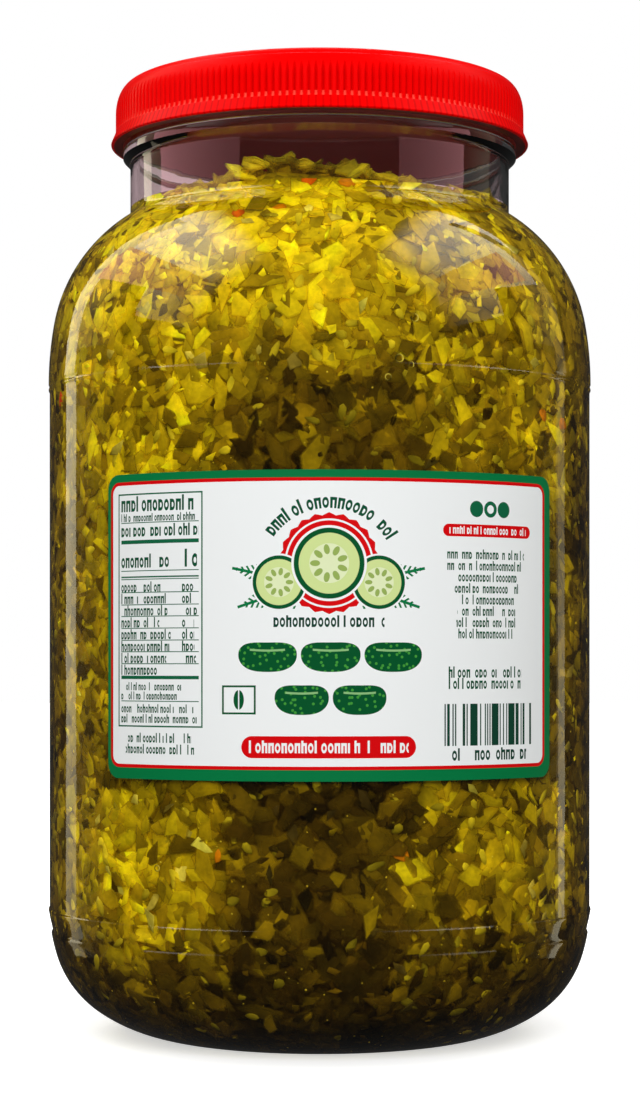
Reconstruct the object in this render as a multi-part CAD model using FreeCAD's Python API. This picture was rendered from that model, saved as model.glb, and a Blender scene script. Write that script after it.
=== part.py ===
"""Wide-mouth one-gallon jar of dill relish with a ribbed screw cap.

Four pieces: a blow-moulded clear plastic jar, the chopped relish that fills it
up to the foot of the neck, a moulded cap that sits on the jar's rim, and a
paper label glued round the front of the recessed label panel.

Units are millimetres. The origin is the centre of the standing ring, +Z is up
and the label faces -Y. Every outline is a half section in the plane of X (the
radius) and Z, turned about the Z axis.
"""

import math
import os

import FreeCAD, Part

from FreeCAD import Vector

# ---- jar body ---------------------------------------------------------------
BODY_RADIUS = 76.0  # outside, at the bumpers above and below the label panel
BODY_HEIGHT = 181.9  # standing plane to the start of the shoulder
WALL = 1.0  # side wall of the body and shoulder
PANEL_RECESS = 0.3  # how far the label panel lies inside the bumpers
PANEL_STEP = 1.0  # height of the sloped step at each end of the panel
BUMPER_TOP = 1.2  # bumper left between the panel and the shoulder

# ---- heel: three tangent arcs from the wall down to the standing ring --------
HEEL_RADII = (51.9, 28.8, 43.7)
HEEL_TURNS = (0.0, 16.8, 55.4, 90.0)  # degrees of slope where the arcs start and end
PANEL_FOOT_TURN = 2.3  # slope of the first arc where the panel step begins
RING_WIDTH = 3.2  # flat standing ring
BASE_THICKNESS = 1.8
PUSH_UP = 7.0  # height of the domed base inside the standing ring
GATE_RADIUS = 4.0  # flat moulding mark in the middle of the dome
GATE_DROP = 0.6  # how far the mark stands out below the dome

# ---- shoulder and neck --------------------------------------------------------
SHOULDER_RADII = (94.8, 44.5)
SHOULDER_TURN = 10.2  # slope in degrees where the first shoulder arc ends
NECK_RADIUS = 53.2
NECK_WALL = 1.8
NECK_FILLET = 2.5  # concave fillet where the neck rises from the shoulder
NECK_HEIGHT = 14.3  # shoulder corner to the underside of the transfer bead
BEAD_REACH = 2.0  # how far the transfer bead stands out from the neck
BEAD_HEIGHT = 2.6
BEAD_TURN = 45.0  # slope of the bead's underside, from the neck's wall
BEAD_FILLET = 1.6  # concave, where the underside leaves the neck
BEAD_ROUND = 0.8
FINISH_HEIGHT = 15.8  # top of the bead to the sealing rim
RIM_ROUND = 0.5
THREAD_DEPTH = 1.8  # room over the neck's wall for the screw thread

# ---- cap ------------------------------------------------------------------------
CAP_CLEARANCE = 0.3  # cap bore over the thread crest
CAP_WALL = 1.4  # bore to the bottom of the grip grooves
CAP_TOP = 1.6
CAP_GAP = 0.8  # transfer bead to the lower edge of the cap
CAP_EDGE_REACH = 4.2  # radial and vertical size of the cap's rounded top edge
CAP_EDGE_DROP = 7.7
CAP_BORE_FILLET = 1.2
SKIRT_FLARE = 1.3
SKIRT_HEIGHT = 3.5
SKIRT_ROUND = 0.5
GROOVE_COUNT = 190
GROOVE_DEPTH = 0.6
GROOVE_SHARE = 0.6  # width of a groove at the crest, as a share of the pitch
GROOVE_RUNOUT = 1.3  # height of the sloped lower end of each groove
TOP_RIM_WIDTH = 5.6  # flat rim round the shallow stacking recess in the top
TOP_RECESS = 0.5

# ---- relish -----------------------------------------------------------------------
FILL_GAP = 0.3  # relish to the inside of the jar
FILL_ABOVE_NECK_FOOT = 3.0  # mean level of the relish above the neck's foot
LUMP_HEIGHT = 0.8  # unevenness of the top
MOUND_HEIGHT = 4.6  # heap against the front of the neck
MOUND_SIZE = (19.0, 13.0)  # half width and half depth of the heap
MOUND_SIDE = -2.0  # how far the heap's middle lies to the left, facing the label
MOUND_INSET = 9.4  # the heap's middle to the inside of the neck
TOP_GRID = 15  # points each way of the relish's top surface

# ---- label ------------------------------------------------------------------------
LABEL_FOOT = 74.2
LABEL_HEIGHT = 79.2
LABEL_ARC = 100.4  # degrees that the label goes round the panel
LABEL_TURN = 3.2  # degrees that its middle is turned from -Y towards +X
LABEL_THICKNESS = 0.15
LABEL_CORNER = 4.0

# ---- worked out from the sizes above --------------------------------------------
PANEL_RADIUS = BODY_RADIUS - PANEL_RECESS
BEAD_RADIUS = NECK_RADIUS + BEAD_REACH
CAP_BORE = NECK_RADIUS + THREAD_DEPTH + CAP_CLEARANCE
GROOVE_FLOOR = CAP_BORE + CAP_WALL
CAP_RADIUS = GROOVE_FLOOR + GROOVE_DEPTH


def sin(degrees):
    return math.sin(math.radians(degrees))


def cos(degrees):
    return math.cos(math.radians(degrees))


def tan(degrees):
    return math.tan(math.radians(degrees))


def at(radius, height, turn=0.0):
    """Point of a half section, turned about Z by an angle in degrees."""
    return Vector(radius * cos(turn), radius * sin(turn), height)


class Outline:
    """Half section drawn edge by edge from a starting point (radius, height)."""

    def __init__(self, radius, height):
        self.start = self.now = (radius, height)
        self.edges = []

    def line(self, radius, height):
        if math.dist(self.now, (radius, height)) > 1e-6:
            self.edges.append(Part.LineSegment(at(*self.now), at(radius, height)).toShape())
        self.now = (radius, height)
        return self

    def arc(self, centre, size, first, last):
        """Arc about a centre; the angles run from +X (radius) towards +Z.

        size is a radius, or the two half axes of an ellipse."""
        across, up = size if isinstance(size, tuple) else (size, size)

        def point(angle):
            return centre[0] + across * cos(angle), centre[1] + up * sin(angle)

        self.line(*point(first))
        if across == up:
            middle = point((first + last) / 2)
            curve = Part.Arc(at(*self.now), at(*middle), at(*point(last)))
        else:
            wide = across > up
            axis = Vector(1, 0, 0) if wide else Vector(0, 0, 1)
            major, minor = max(across, up), min(across, up)
            hub = at(*centre)
            side = Vector(0, 0, 1) if wide else Vector(1, 0, 0)
            ellipse = Part.Ellipse(hub + axis * major, hub + side * minor, hub)
            ends = [ellipse.parameter(at(*point(a))) for a in (first, last)]
            low, high = min(ends), max(ends)
            curve = Part.ArcOfEllipse(ellipse, low, high)
        self.edges.append(curve.toShape())
        self.now = point(last)
        return self

    def turned(self):
        """Solid made by closing the outline and turning it about Z."""
        self.line(*self.start)
        wire = Part.Wire(Part.__sortEdges__(self.edges))
        face = Part.Face(wire)
        return face.revolve(Vector(0, 0, 0), Vector(0, 0, 1), 360)


# ---- where the arcs of the jar lie ------------------------------------------------
def heel_arcs():
    """Centre, radius and slopes of each heel arc, from the ring up to the wall."""
    radius, height = BODY_RADIUS, 0.0
    found = []
    for size, top, foot in zip(HEEL_RADII, HEEL_TURNS, HEEL_TURNS[1:]):
        centre = (radius - size * cos(top), height + size * sin(top))
        found.append((centre, size, foot, top))
        radius, height = centre[0] + size * cos(foot), centre[1] - size * sin(foot)
    return [((c[0], c[1] - height), s, foot, top) for c, s, foot, top in reversed(found)]


def ring_outer_radius():
    centre, size, foot, _ = heel_arcs()[0]
    return centre[0] + size * cos(foot)


def shoulder_centres():
    """Centres of the two shoulder arcs, which are tangent to the wall and each other."""
    first, second = SHOULDER_RADII
    low = (BODY_RADIUS - first, BODY_HEIGHT)
    reach = first - second
    high = (low[0] + reach * cos(SHOULDER_TURN), low[1] + reach * sin(SHOULDER_TURN))
    return low, high


def neck_fillet_centre(neck_radius, fillet, inset):
    """Centre of the fillet between a neck wall and the shoulder arc inside it."""
    hub = shoulder_centres()[1]
    radius = neck_radius + fillet
    reach = SHOULDER_RADII[1] - inset + fillet
    return radius, hub[1] + math.sqrt(reach**2 - (radius - hub[0]) ** 2)


def neck_foot():
    """Height where the neck's outside would meet the shoulder with no fillet."""
    hub = shoulder_centres()[1]
    return hub[1] + math.sqrt(SHOULDER_RADII[1] ** 2 - (NECK_RADIUS - hub[0]) ** 2)


BEAD_UNDERSIDE = neck_foot() + NECK_HEIGHT
BEAD_EDGE = BEAD_UNDERSIDE + BEAD_REACH / tan(BEAD_TURN)
BEAD_TOP = BEAD_EDGE + BEAD_HEIGHT
RIM = BEAD_TOP + FINISH_HEIGHT
FILL_LEVEL = neck_foot() + FILL_ABOVE_NECK_FOOT
CAP_FOOT = BEAD_TOP + CAP_GAP
CAP_HEAD = RIM + CAP_TOP


def dome_arc(rim_radius, rise, foot):
    """Centre, radius and end slopes of the base dome, from its rim to the gate mark."""
    size = (rim_radius**2 + rise**2) / (2 * rise)
    rim = 90.0 - math.degrees(math.asin(rim_radius / size))
    gate = 90.0 - math.degrees(math.asin(GATE_RADIUS / size))
    return (0.0, foot + rise - size), size, rim, gate


def draw_shoulder(outline, neck_radius, fillet, inset, upwards):
    """Adds the two shoulder arcs and the neck's fillet, set in by the wall."""
    low, high = shoulder_centres()
    centre = neck_fillet_centre(neck_radius, fillet, inset)
    meet = math.degrees(math.atan2(centre[1] - high[1], centre[0] - high[0]))
    arcs = [
        (low, SHOULDER_RADII[0] - inset, 0.0, SHOULDER_TURN),
        (high, SHOULDER_RADII[1] - inset, SHOULDER_TURN, meet),
        (centre, fillet, meet + 180.0, 180.0),
    ]
    if not upwards:
        arcs = [(c, s, last, first) for c, s, first, last in reversed(arcs)]
    for arc in arcs:
        outline.arc(*arc)


def jar():
    """Clear jar: domed base, heel, label panel, shoulder, neck, bead and open rim."""
    ring = ring_outer_radius()
    dome_rim = ring - RING_WIDTH
    centre, size, rim, gate = dome_arc(dome_rim, PUSH_UP, 0.0)
    gate_height = centre[1] + size * sin(gate) - GATE_DROP

    shell = Outline(0.0, gate_height)
    shell.line(GATE_RADIUS, gate_height)
    shell.arc(centre, size, gate, rim)
    shell.line(ring, 0.0)
    arcs = heel_arcs()
    for centre, size, foot, top in arcs[:-1]:
        shell.arc(centre, size, -foot, -top)
    centre, size, foot, _ = arcs[-1]
    shell.arc(centre, size, -foot, -PANEL_FOOT_TURN)
    shell.line(PANEL_RADIUS, shell.now[1] + PANEL_STEP)
    panel_head = BODY_HEIGHT - BUMPER_TOP - PANEL_STEP
    shell.line(PANEL_RADIUS, panel_head)
    shell.line(BODY_RADIUS, panel_head + PANEL_STEP)
    shell.line(BODY_RADIUS, BODY_HEIGHT)
    draw_shoulder(shell, NECK_RADIUS, NECK_FILLET, 0.0, upwards=True)

    fillet_foot = BEAD_UNDERSIDE - BEAD_FILLET * tan(BEAD_TURN / 2)
    shell.arc((NECK_RADIUS + BEAD_FILLET, fillet_foot), BEAD_FILLET, 180.0, 180.0 - BEAD_TURN)
    bead_flat = BEAD_RADIUS - BEAD_ROUND
    shell.line(BEAD_RADIUS, BEAD_EDGE)
    shell.arc((bead_flat, BEAD_TOP - BEAD_ROUND), BEAD_ROUND, 0.0, 90.0)
    shell.line(NECK_RADIUS, BEAD_TOP)
    shell.arc((NECK_RADIUS - RIM_ROUND, RIM - RIM_ROUND), RIM_ROUND, 0.0, 90.0)

    bore = NECK_RADIUS - NECK_WALL
    shell.arc((bore + RIM_ROUND, RIM - RIM_ROUND), RIM_ROUND, 90.0, 180.0)
    draw_shoulder(shell, bore, NECK_FILLET + NECK_WALL, WALL, upwards=False)
    for centre, size, foot, top in reversed(arcs):
        shell.arc(centre, size - WALL, -top, -foot)
    floor = shell.now[1]
    shell.arc(*dome_arc(dome_rim, PUSH_UP + BASE_THICKNESS - floor, floor))
    shell.line(0.0, shell.now[1])
    return shell.turned()


# ---- relish -------------------------------------------------------------------------
def top_height(x, y):
    """Height of the relish's top: small lumps and a heap against the front."""
    lumps = math.sin(x / 6.3 + 0.7) * math.cos(y / 5.2) + 0.6 * math.sin((x + 1.4 * y) / 8.1)
    across = (x - MOUND_SIDE) / MOUND_SIZE[0]
    along = (y + NECK_RADIUS - NECK_WALL - MOUND_INSET) / MOUND_SIZE[1]
    heap = MOUND_HEIGHT * math.exp(-(across**2) - along**2)
    return FILL_LEVEL + LUMP_HEIGHT * lumps + heap


def relish():
    """Everything in the jar up to its uneven level, as one solid."""
    ring = ring_outer_radius()
    dome_rim = ring - RING_WIDTH
    bore = NECK_RADIUS - NECK_WALL - FILL_GAP
    inset = WALL + FILL_GAP
    ceiling = FILL_LEVEL + MOUND_HEIGHT + 3 * LUMP_HEIGHT

    fill = Outline(0.0, ceiling)
    fill.line(bore, ceiling)
    draw_shoulder(fill, bore, NECK_FILLET + NECK_WALL + FILL_GAP, inset, upwards=False)
    for centre, size, foot, top in reversed(heel_arcs()):
        fill.arc(centre, size - inset, -top, -foot)
    floor = fill.now[1]
    fill.arc(*dome_arc(dome_rim, PUSH_UP + BASE_THICKNESS + FILL_GAP - floor, floor))
    fill.line(0.0, fill.now[1])
    body = fill.turned()

    reach = bore * 1.1
    places = [reach * (2 * i / (TOP_GRID - 1) - 1) for i in range(TOP_GRID)]
    surface = Part.BSplineSurface()
    surface.interpolate([[Vector(x, y, top_height(x, y)) for y in places] for x in places])
    above = surface.toShape().extrude(Vector(0, 0, 4 * MOUND_HEIGHT))
    return body.cut(above)


# ---- cap ------------------------------------------------------------------------------
def groove_cutter():
    """Ring outside a star: the star's notches are the V grooves of the grip band."""
    pitch = 360.0 / GROOVE_COUNT
    half_width = GROOVE_SHARE * math.pi * CAP_RADIUS / GROOVE_COUNT
    spread = math.pi * CAP_RADIUS / GROOVE_COUNT / half_width
    star_radius = GROOVE_FLOOR + GROOVE_DEPTH * spread
    corners = []
    for i in range(GROOVE_COUNT):
        corners.append(at(GROOVE_FLOOR, 0.0, i * pitch))
        corners.append(at(star_radius, 0.0, (i + 0.5) * pitch))
    star = Part.Face(Part.makePolygon(corners + corners[:1]))

    outer = CAP_RADIUS + SKIRT_FLARE + CAP_WALL
    inner = GROOVE_FLOOR - GROOVE_DEPTH
    shelf = CAP_FOOT + SKIRT_HEIGHT
    slope = GROOVE_RUNOUT / GROOVE_DEPTH
    band = Outline(inner, shelf + GROOVE_RUNOUT + slope * (GROOVE_FLOOR - inner))
    band.line(CAP_RADIUS, shelf)
    band.line(outer, shelf)
    band.line(outer, CAP_HEAD)
    band.line(inner, CAP_HEAD)
    star_prism = star.extrude(Vector(0, 0, CAP_HEAD - CAP_FOOT + CAP_TOP))
    star_prism.translate(Vector(0, 0, CAP_FOOT))
    return band.turned().cut(star_prism)


def cap():
    """Screw cap: flared skirt, band of V grooves, rounded edge and recessed top."""
    skirt_radius = CAP_RADIUS + SKIRT_FLARE
    shelf = CAP_FOOT + SKIRT_HEIGHT
    edge = (CAP_RADIUS - CAP_EDGE_REACH, CAP_HEAD - CAP_EDGE_DROP)

    blank = Outline(CAP_BORE, CAP_FOOT)
    blank.arc((skirt_radius - SKIRT_ROUND, CAP_FOOT + SKIRT_ROUND), SKIRT_ROUND, -90.0, 0.0)
    blank.line(CAP_RADIUS, shelf)
    blank.arc(edge, (CAP_EDGE_REACH, CAP_EDGE_DROP), 0.0, 90.0)
    recess_radius = edge[0] - TOP_RIM_WIDTH
    blank.line(recess_radius, CAP_HEAD)
    blank.line(recess_radius - TOP_RECESS, CAP_HEAD - TOP_RECESS)
    blank.line(0.0, CAP_HEAD - TOP_RECESS)
    blank.line(0.0, RIM)
    corner = (CAP_BORE - CAP_BORE_FILLET, RIM - CAP_BORE_FILLET)
    blank.arc(corner, CAP_BORE_FILLET, 90.0, 0.0)
    return blank.turned().cut(groove_cutter())


# ---- label -----------------------------------------------------------------------------
def label():
    """Paper label with round corners, wrapped on the label panel."""
    strip = Outline(PANEL_RADIUS, LABEL_FOOT)
    strip.line(PANEL_RADIUS + LABEL_THICKNESS, LABEL_FOOT)
    strip.line(PANEL_RADIUS + LABEL_THICKNESS, LABEL_FOOT + LABEL_HEIGHT)
    strip.line(PANEL_RADIUS, LABEL_FOOT + LABEL_HEIGHT)
    strip.line(*strip.start)
    section = Part.Face(Part.Wire(strip.edges))
    first = LABEL_TURN - 90.0 - LABEL_ARC / 2
    section.rotate(Vector(0, 0, 0), Vector(0, 0, 1), first)
    sheet = section.revolve(Vector(0, 0, 0), Vector(0, 0, 1), LABEL_ARC)
    radial = [e for e in sheet.Edges if abs(e.Length - LABEL_THICKNESS) < 1e-6]
    return sheet.makeFillet(LABEL_CORNER, radial)


def main():
    os.makedirs("parts", exist_ok=True)
    pieces = {"jar": jar(), "relish": relish(), "cap": cap(), "label": label()}
    for name, shape in pieces.items():
        solids = shape.Solids
        if len(solids) != 1 or not solids[0].isValid():
            raise ValueError(f"{name} is not one valid solid")
        solids[0].exportStep(f"parts/{name}.step")
        box = shape.BoundBox
        print(name, f"{shape.Volume / 1000:.1f} ml", f"z {box.ZMin:.2f} to {box.ZMax:.2f}")


main()
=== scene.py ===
"""Looks of the jar of dill relish: clear shell, chopped filling, cap, label, and the studio it stands in.

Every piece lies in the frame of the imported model, in metres: the jar stands on z = 0 and its label
faces -Y. Sizes named in the sections are in millimetres unless they say otherwise.
"""

import math

import bpy
import numpy as np
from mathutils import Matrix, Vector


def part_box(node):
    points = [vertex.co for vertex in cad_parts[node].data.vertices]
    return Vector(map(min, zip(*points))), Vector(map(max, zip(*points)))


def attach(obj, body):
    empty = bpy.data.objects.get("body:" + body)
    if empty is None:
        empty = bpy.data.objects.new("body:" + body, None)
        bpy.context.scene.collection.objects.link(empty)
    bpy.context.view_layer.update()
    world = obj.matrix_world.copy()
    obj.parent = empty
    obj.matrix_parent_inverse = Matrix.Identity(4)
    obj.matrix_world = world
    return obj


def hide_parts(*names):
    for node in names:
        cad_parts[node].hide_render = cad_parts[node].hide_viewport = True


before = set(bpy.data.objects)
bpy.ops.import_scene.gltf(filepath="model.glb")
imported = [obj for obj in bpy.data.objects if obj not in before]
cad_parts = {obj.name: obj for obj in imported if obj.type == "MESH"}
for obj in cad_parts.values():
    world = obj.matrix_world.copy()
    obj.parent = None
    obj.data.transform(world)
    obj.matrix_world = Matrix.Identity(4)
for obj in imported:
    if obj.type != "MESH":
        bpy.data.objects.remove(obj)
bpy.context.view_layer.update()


# ---- Jar --------------------------------------------------------------------------------------
# One piece of clear plastic, blown into a mould: domed base, heel, label panel, shoulder and a
# thick neck with a transfer bead and an open rim. Where the relish wets it, its inside doesn't show.

MM = 0.001
AROUND = 256
BODY_RADIUS = 76.0
SHOULDER_FOOT = 181.9
WALL = 1.0
NECK_RADIUS = 53.2
NECK_WALL = 1.8
LEDGE_FOOT = 29.0
PANEL_FOOT = 36.0
SEAM_HEIGHT = 180.0
HEEL_RADII = (51.9, 28.8, 43.7)
HEEL_TURNS = (0.0, 16.8, 55.4, 90.0)
SHOULDER_RADII = (94.8, 44.5)
SHOULDER_TURN = 10.2
RING_WIDTH = 3.2
PUSH_UP = 7.0
BASE_THICKNESS = 1.8
GATE_RADIUS = 4.0
GATE_DEPTH = 0.6
NECK_FILLET = 2.5
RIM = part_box("jar")[1].z / MM
BEAD_TOP = RIM - 15.8
BEAD_EDGE = BEAD_TOP - 2.6
BEAD_FOOT = BEAD_EDGE - 2.0
EDGE_ROUND = 0.5
FILL_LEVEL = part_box("relish")[1].z / MM - 4.6


def arc(centre, size, first, last, steps):
    """Points (radius, height) on a circle about centre, at angles in degrees from outwards to upwards."""
    angle = np.radians(np.linspace(first, last, steps))
    return np.stack([centre[0] + size * np.cos(angle), centre[1] + size * np.sin(angle)], axis=1)


def heel(inset, steps):
    """The heel's three tangent arcs from the standing ring up to the wall, set in by a distance.

    Each arc starts where the last one ended, with its centre on the same normal."""
    radius, height = BODY_RADIUS, 0.0
    arcs = []
    for size, top, foot in zip(HEEL_RADII, HEEL_TURNS, HEEL_TURNS[1:]):
        top_angle, foot_angle = math.radians(top), math.radians(foot)
        centre = (radius - size * math.cos(top_angle), height + size * math.sin(top_angle))
        arcs.append((centre, size - inset, -top, -foot))
        radius = centre[0] + size * math.cos(foot_angle)
        height = centre[1] - size * math.sin(foot_angle)
    curve = [arc((c[0], c[1] - height), s, foot, top, steps) for c, s, top, foot in reversed(arcs)]
    return np.concatenate(curve)


def shoulder(inset, neck_radius, fillet, steps):
    """The shoulder's two tangent arcs and the neck's fillet, from the wall up, set in by a distance."""
    turn = math.radians(SHOULDER_TURN)
    first, second = SHOULDER_RADII
    low = (BODY_RADIUS - first, SHOULDER_FOOT)
    high = (low[0] + (first - second) * math.cos(turn), low[1] + (first - second) * math.sin(turn))
    radius = neck_radius + fillet
    height = high[1] + math.sqrt((second - inset + fillet) ** 2 - (radius - high[0]) ** 2)
    meet = math.degrees(math.atan2(height - high[1], radius - high[0]))
    return np.concatenate([
        arc(low, first - inset, 0.0, SHOULDER_TURN, steps // 2),
        arc(high, second - inset, SHOULDER_TURN, meet, steps),
        arc((radius, height), fillet, meet + 180.0, 180.0, steps // 2),
    ])


def dome(rim_radius, rise, foot, steps):
    """Shallow dome of the base, from the middle out to its rim, rising by the given height."""
    size = (rim_radius**2 + rise**2) / (2 * rise)
    rim = 90.0 - math.degrees(math.asin(rim_radius / size))
    gate = 90.0 - math.degrees(math.asin(GATE_RADIUS / size))
    return arc((0.0, foot + rise - size), size, gate, rim, steps)


def inner_wall(gap):
    """Inside of the jar from the middle of its base to the neck, set in by a further gap."""
    lower = heel(WALL + gap, 16)
    rim_radius = RING_RADIUS - RING_WIDTH
    base = dome(rim_radius, PUSH_UP + BASE_THICKNESS + gap - lower[0, 1], lower[0, 1], 12)
    upper = shoulder(WALL + gap, NECK_RADIUS - NECK_WALL - gap, NECK_FILLET + NECK_WALL + gap, 24)
    return np.concatenate([base, lower, upper])


def spread(curve, step):
    """The same curve with straight runs divided so that no two points lie further apart than step."""
    parts = [curve[:1]]
    for start, end in zip(curve[:-1], curve[1:]):
        count = math.ceil(np.hypot(*(end - start)) / step - 1e-6)
        share = np.arange(1, count + 1)[:, None] / count
        parts.append(start + (end - start) * share)
    return np.concatenate(parts)


def turned(name, curve, around):
    """Mesh made by turning a section about Z: radius and height come from the section's points,
    x and y from the radius times the cosine and sine of the angle round the axis. A point on the
    axis becomes one pole. The section runs so that the solid lies on its left."""
    on_axis = curve[:, 0] < 1e-6
    angle = np.linspace(0.0, 2 * np.pi, around, endpoint=False)
    ring = curve[~on_axis]
    grid = np.stack([
        ring[:, None, 0] * np.cos(angle),
        ring[:, None, 0] * np.sin(angle),
        np.broadcast_to(ring[:, None, 1], (len(ring), around)),
    ], axis=-1)
    points = grid.reshape(-1, 3)
    low = np.arange(len(ring) - 1)[:, None] * around + np.arange(around)
    side = np.arange(len(ring) - 1)[:, None] * around + (np.arange(around) + 1) % around
    quads = np.stack([low, side, side + around, low + around], axis=-1).reshape(-1, 4)
    faces = quads.tolist()
    for row, first in ((0, True), (len(ring) - 1, False)):
        end = curve[0] if first else curve[-1]
        if end[0] < 1e-6:
            pole = len(points)
            points = np.concatenate([points, [[0.0, 0.0, end[1]]]])
            here = row * around + np.arange(around)
            there = row * around + (np.arange(around) + 1) % around
            fan = (pole, there, here) if first else (pole, here, there)
            faces += [[int(pole), int(a), int(b)] for a, b in zip(fan[1], fan[2])]
    mesh = bpy.data.meshes.new(name)
    mesh.from_pydata((points * MM).tolist(), [], faces)
    mesh.update()
    mesh.shade_smooth()
    mesh.set_sharp_from_angle(angle=math.radians(35))
    piece = bpy.data.objects.new(name, mesh)
    bpy.context.scene.collection.objects.link(piece)
    return piece


class Port:
    """A number inside a material: an output socket on which + - * / and comparisons add Math nodes."""

    def __init__(self, tree, socket):
        self.tree = tree
        self.socket = socket

    def math(self, operation, *others):
        """One Math node with this value as its first number."""
        node = self.tree.nodes.new("ShaderNodeMath")
        node.operation = operation
        for slot, value in zip(node.inputs, (self, *others)):
            if isinstance(value, Port):
                self.tree.links.new(value.socket, slot)
            else:
                slot.default_value = value
        return Port(self.tree, node.outputs[0])

    def swapped(self, operation, other):
        """The operation with this value as its second number."""
        node = self.tree.nodes.new("ShaderNodeMath")
        node.operation = operation
        node.inputs[0].default_value = other
        self.tree.links.new(self.socket, node.inputs[1])
        return Port(self.tree, node.outputs[0])

    def __add__(self, other):
        return self.math("ADD", other)

    def __sub__(self, other):
        return self.math("SUBTRACT", other)

    def __mul__(self, other):
        return self.math("MULTIPLY", other)

    def __truediv__(self, other):
        return self.math("DIVIDE", other)

    def __pow__(self, other):
        return self.math("POWER", other)

    def __gt__(self, other):
        return self.math("GREATER_THAN", other)

    def __lt__(self, other):
        return self.math("LESS_THAN", other)

    def __radd__(self, other):
        return self.swapped("ADD", other)

    def __rsub__(self, other):
        return self.swapped("SUBTRACT", other)

    def __rmul__(self, other):
        return self.swapped("MULTIPLY", other)

    def __rtruediv__(self, other):
        return self.swapped("DIVIDE", other)


class Finish:
    """A material and its nodes."""

    def __init__(self, name):
        self.material = bpy.data.materials.new(name)
        self.material.use_nodes = True
        self.tree = self.material.node_tree
        self.tree.nodes.clear()

    def node(self, kind, settings=None, inputs=None, output=0):
        """Adds a node with its settings, then its sockets' values or links, and gives one output."""
        node = self.tree.nodes.new("ShaderNode" + kind)
        for key, value in (settings or {}).items():
            setattr(node, key, value)
        for key, value in (inputs or {}).items():
            socket = node.inputs[key]
            if isinstance(value, Port):
                self.tree.links.new(value.socket, socket)
            elif isinstance(value, tuple) and len(value) == 3 and socket.type == "RGBA":
                socket.default_value = (*value, 1.0)
            else:
                socket.default_value = value
        return Port(self.tree, node.outputs[output])

    def blend(self, first, second, share):
        """The second colour over the first, by a share."""
        return self.node("Mix", {"data_type": "RGBA"}, {0: share, 6: first, 7: second}, 2)

    def place(self):
        """Object coordinates, in metres."""
        return self.node("TexCoord", output="Object")

    def noise(self, scale, detail):
        """Cloudy values about a half, finer with a larger scale."""
        return self.node("TexNoise", {}, {"Vector": self.place(), "Scale": scale, "Detail": detail})

    def surface(self, shader):
        """Puts a shader on the surface and gives the finished material."""
        end = self.tree.nodes.new("ShaderNodeOutputMaterial")
        self.tree.links.new(shader.socket, end.inputs["Surface"])
        return self.material


def light_passes(finish, shader, tint):
    """Lets lamp light and light scattered inside the jar go straight through a clear surface."""
    straight = finish.node("BsdfTransparent", {}, {"Color": tint})
    shadow = finish.node("LightPath", output="Is Shadow Ray")
    scattered = finish.node("LightPath", output="Is Diffuse Ray")
    share = shadow.math("MAXIMUM", scattered)
    return finish.node("MixShader", {}, {0: share, 1: shader, 2: straight})


clear = Finish("clear_plastic")
ripple = clear.noise(22.0, 1.0)
flow = clear.noise(160.0, 2.0)
uneven = clear.node("Bump", {}, {"Strength": 0.35, "Distance": 0.0006, "Height": ripple + flow * 0.12})
glassy = clear.node("BsdfPrincipled", {}, {
    "Base Color": (1.0, 1.0, 1.0), "Roughness": 0.02, "IOR": 1.57, "Transmission Weight": 1.0,
    "Normal": uneven})
clear_plastic = clear.surface(light_passes(clear, glassy, (0.97, 0.98, 0.96)))

wet = Finish("wet_inside")
wet_inside = wet.surface(wet.node("BsdfTransparent", {}, {"Color": (1.0, 1.0, 1.0)}))

RING_RADIUS = heel(0.0, 4)[0, 0]

# The mould leaves three small steps: a ledge at the heel, the foot of the recessed label panel, and
# a seam line near its top. Each is an offset from the wall at a height.
outside = heel(0.0, 16)
ledge_height = [29.1, 29.2, 29.4, 29.65, 29.88, 30.1, 30.6, 31.6, 33.1, 34.7]
ledge_depth = [0.0, -0.03, -0.14, -0.3, -0.44, -0.5, -0.5, -0.42, -0.22, -0.04]
ledge = np.stack([ledge_depth + np.interp(ledge_height, outside[:, 1], outside[:, 0]), ledge_height], axis=1)
lower = np.concatenate([outside[outside[:, 1] < LEDGE_FOOT], ledge])
step_height = [-0.5, -0.2, -0.05, 0.15, 0.3, 0.6]
step_depth = [0.0, 0.0, -0.06, -0.24, -0.3, -0.3]
panel_step = np.stack([step_depth, step_height], axis=1) + (BODY_RADIUS, PANEL_FOOT)
seam_height = [-0.7, -0.35, -0.1, 0.1, 0.35, 0.6, 0.85, 1.1, 1.5, 1.85]
seam_depth = [-0.3, -0.3, -0.22, -0.06, 0.0, -0.06, -0.2, -0.24, -0.16, -0.02]
seam = np.stack([seam_depth, seam_height], axis=1) + (BODY_RADIUS, SEAM_HEIGHT)

gate = dome(RING_RADIUS - RING_WIDTH, PUSH_UP, 0.0, 12)
gate_mark = [[0.0, gate[0, 1] - GATE_DEPTH], [GATE_RADIUS, gate[0, 1] - GATE_DEPTH]]
bead = np.concatenate([
    arc((NECK_RADIUS + 1.6, BEAD_FOOT - 0.66), 1.6, 180.0, 135.0, 6),
    [[NECK_RADIUS + 2.0, BEAD_EDGE]],
    arc((NECK_RADIUS + 1.2, BEAD_TOP - 0.8), 0.8, 0.0, 90.0, 6),
    [[NECK_RADIUS, BEAD_TOP]],
])
rim_height = RIM - EDGE_ROUND
rim = arc((NECK_RADIUS - EDGE_ROUND, rim_height), EDGE_ROUND, 0.0, 90.0, 5)
bore = arc((NECK_RADIUS - NECK_WALL + EDGE_ROUND, rim_height), EDGE_ROUND, 90.0, 180.0, 5)
section = np.concatenate([
    gate_mark, gate, lower, panel_step, seam, shoulder(0.0, NECK_RADIUS, NECK_FILLET, 24),
    bead, rim, bore, inner_wall(0.0)[::-1],
])
middle = [[0.0, section[-1, 1]]]
section = spread(np.concatenate([section, middle]), 6.0)
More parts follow.
